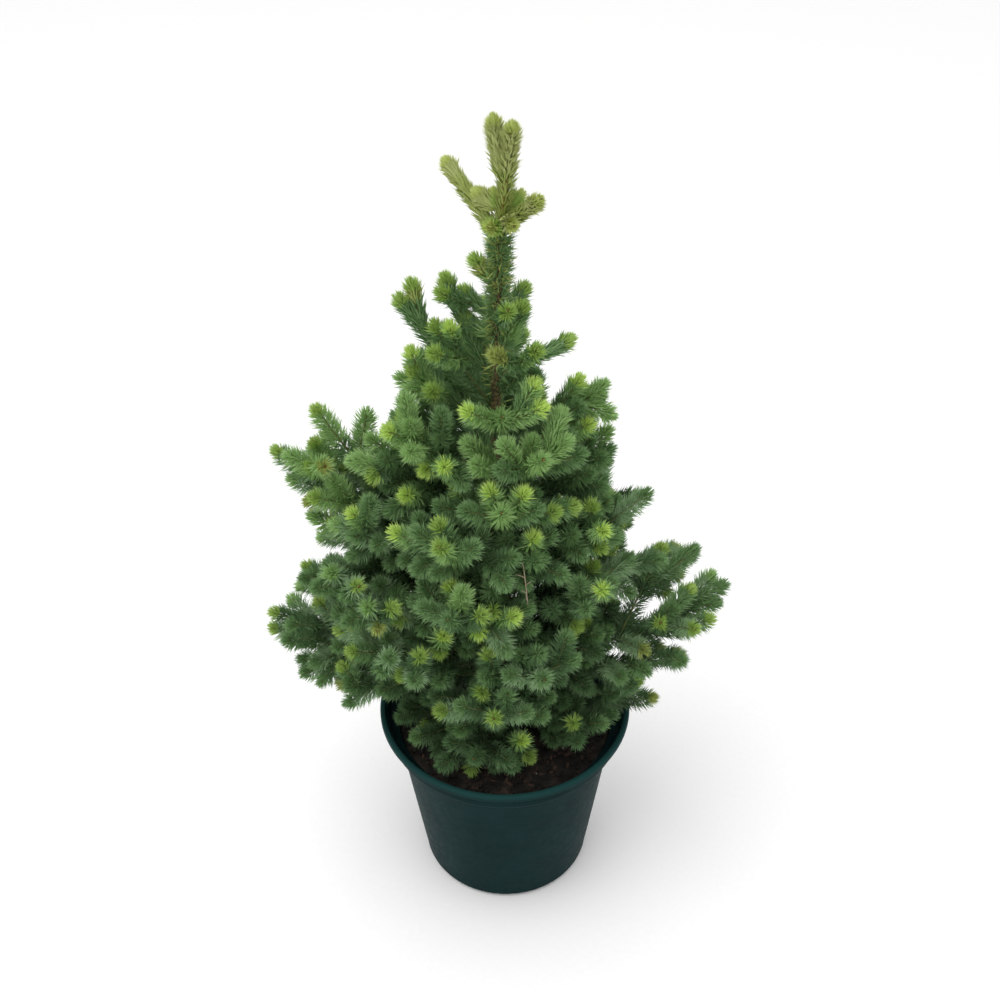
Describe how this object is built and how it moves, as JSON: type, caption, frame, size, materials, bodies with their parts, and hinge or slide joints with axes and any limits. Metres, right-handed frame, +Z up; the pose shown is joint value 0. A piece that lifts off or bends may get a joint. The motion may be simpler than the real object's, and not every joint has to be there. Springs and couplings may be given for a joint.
{
  "type": "potted norway spruce",
  "caption": "Young conifer with whorled boughs of bottle-brush shoots round a straight trunk, growing in a tapered round nursery pot filled with compost.",
  "frame": {"origin": "centre of the pot's flat underside, on the surface that it stands on", "axes": "+Z up along the trunk, +X to the right and +Y away from the viewer in the reference view"},
  "size_m": [0.4934, 0.3092, 0.9211],
  "materials": {
    "pot_plastic": "satin",
    "potting_soil": "matte",
    "spruce_bark": "matte",
    "spruce_needles": "matte",
    "young_needles": "matte"
  },
  "bodies": {
    "root": {"pot": "pot_plastic", "soil": "potting_soil", "trunk": "spruce_bark", "bough_1a": "spruce_bark", "bough_1b": "spruce_bark", "bough_1c": "spruce_bark", "bough_1d": "spruce_bark", "bough_1e": "spruce_bark", "bough_2a": "spruce_bark", "bough_2b": "spruce_bark", "bough_2c": "spruce_bark", "bough_2d": "spruce_bark", "bough_3a": "spruce_bark", "bough_3b": "spruce_bark", "bough_3c": "spruce_bark", "bough_3d": "spruce_bark", "bough_3e": "spruce_bark", "foliage_1a": "spruce_needles", "foliage_1b": "spruce_needles", "foliage_1c": "spruce_needles", "foliage_1d": "spruce_needles", "foliage_1e": "spruce_needles", "foliage_2a": "spruce_needles", "foliage_2b": "spruce_needles", "foliage_2c": "spruce_needles", "foliage_2d": "spruce_needles", "foliage_3a": "spruce_needles", "foliage_3b": "spruce_needles", "foliage_3c": "spruce_needles", "foliage_3d": "spruce_needles", "foliage_3e": "spruce_needles", "foliage_4a": "spruce_needles", "foliage_4b": "spruce_needles", "foliage_4c": "spruce_needles", "foliage_4d": "spruce_needles", "foliage_4e": "spruce_needles", "foliage_5a": "spruce_needles", "foliage_5b": "spruce_needles", "foliage_5c": "spruce_needles", "foliage_5d": "spruce_needles", "foliage_6a": "spruce_needles", "foliage_6b": "spruce_needles", "foliage_6c": "spruce_needles", "foliage_6d": "spruce_needles", "foliage_7a": "spruce_needles", "foliage_7b": "spruce_needles", "foliage_7c": "spruce_needles", "foliage_7d": "spruce_needles", "foliage_8a": "spruce_needles", "foliage_8b": "spruce_needles", "foliage_8c": "spruce_needles", "foliage_8d": "spruce_needles", "foliage_9a": "spruce_needles", "foliage_9b": "spruce_needles", "foliage_9c": "spruce_needles", "foliage_10a": "spruce_needles", "foliage_10b": "spruce_needles", "foliage_10c": "spruce_needles", "foliage_sleeve": "spruce_needles", "foliage_leader": "young_needles"}
  },
  "joints": []
}
